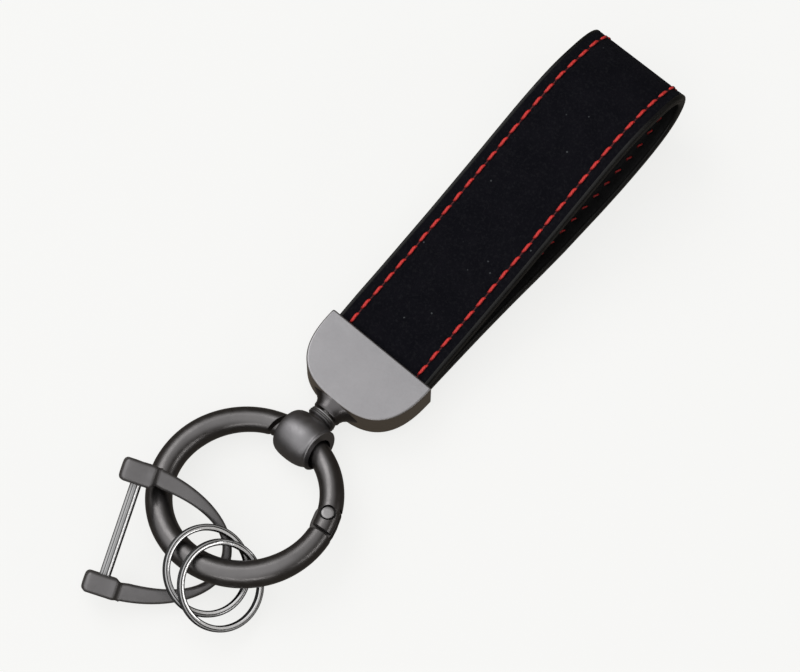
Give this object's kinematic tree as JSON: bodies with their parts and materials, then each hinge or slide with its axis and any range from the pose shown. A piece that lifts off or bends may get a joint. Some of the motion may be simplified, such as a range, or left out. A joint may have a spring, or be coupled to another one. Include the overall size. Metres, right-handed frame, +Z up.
{
  "type": "strap_keyring_with_ring_and_shackle",
  "caption": "Keyring: folded black suede strap with red stitching in a metal end cap, swivel bail, round spring-gate ring, horseshoe shackle and split rings.",
  "frame": {"origin": "centre of the bounding box's underside, on the surface that the keyring lies on", "axes": "+Y runs along the strap from the end cap to the strap's closed tip, +X across the strap, +Z up from the surface"},
  "size_m": [0.0404, 0.154, 0.0214],
  "materials": {
    "suede": "black napped suede with painted edges",
    "lining": "black smooth leather",
    "thread": "red waxed thread",
    "cap_metal": "satin grey plated zinc casting",
    "gunmetal": "satin gunmetal plating",
    "black_nickel": "polished black nickel",
    "steel": "bare steel"
  },
  "bodies": {
    "strap_and_cap": {"strap_outer": "suede", "strap_lining": "lining", "stitching_outer_left": "thread", "stitching_outer_right": "thread", "stitching_inner_left": "thread", "stitching_inner_right": "thread", "end_cap": "cap_metal"},
    "swivel": {"swivel_post": "steel", "post_retaining_washer": "steel", "swivel_spacer": "black_nickel", "bail": "gunmetal"},
    "gate_part": {"gate": "gunmetal"},
    "ring_part": {"ring_body": "gunmetal", "gate_pin": "black_nickel", "gate_spring": "steel"},
    "plunger_part": {"gate_plunger": "steel"},
    "shackle_part": {"shackle": "gunmetal"},
    "bar_part": {"shackle_bar": "black_nickel"},
    "split_ring_1_part": {"split_ring_1": "black_nickel"},
    "split_ring_2_part": {"split_ring_2": "black_nickel"}
  },
  "joints": [
    {"name": "swivel_spin", "type": "hinge", "parent": "strap_and_cap", "child": "swivel", "pos_m": [0.00118, -0.0185, 0.00534], "axis": [0, 1, 0], "continuous": true},
    {"name": "ring_travel", "type": "hinge", "parent": "swivel", "child": "gate_part", "pos_m": [0.00084, -0.04231, 0.00614], "axis": [-0.0994, 0.0846, 0.9914], "range_deg": [0, 30.5]},
    {"name": "gate_hinge", "type": "hinge", "parent": "gate_part", "child": "ring_part", "pos_m": [0.01617, -0.03562, 0.00711], "axis": [0.0994, -0.0846, -0.9914], "range_deg": [0, 24], "stiffness_Nm_per_rad": 0.03, "springref_deg": -11.46},
    {"name": "plunger_slide", "type": "slide", "parent": "ring_part", "child": "plunger_part", "axis": [0.3913, -0.9128, 0.1171], "range_m": [0, 0.00052]},
    {"name": "shackle_travel", "type": "hinge", "parent": "ring_part", "child": "shackle_part", "pos_m": [0.00084, -0.04231, 0.00614], "axis": [0.0994, -0.0846, -0.9914], "range_deg": [0, 50]},
    {"name": "bar_slide", "type": "slide", "parent": "shackle_part", "child": "bar_part", "axis": [-0.3488, 0.8811, 0.3194], "range_m": [0, 0.02]},
    {"name": "split_ring_2_travel", "type": "hinge", "parent": "ring_part", "child": "split_ring_2_part", "pos_m": [0.00084, -0.04231, 0.00614], "axis": [-0.0994, 0.0846, 0.9914], "range_deg": [0, 45]},
    {"name": "split_ring_1_travel", "type": "hinge", "parent": "ring_part", "child": "split_ring_1_part", "pos_m": [0.00084, -0.04231, 0.00614], "axis": [-0.0994, 0.0846, 0.9914], "range_deg": [0, 45]}
  ],
  "couplings": [
    {"joint": "ring_travel", "follows": "gate_hinge", "ratio": 1.25},
    {"joint": "plunger_slide", "follows": "gate_hinge", "m_per_rad": 0.0012},
    {"joint": "split_ring_1_travel", "follows": "split_ring_2_travel", "ratio": 1}
  ]
}
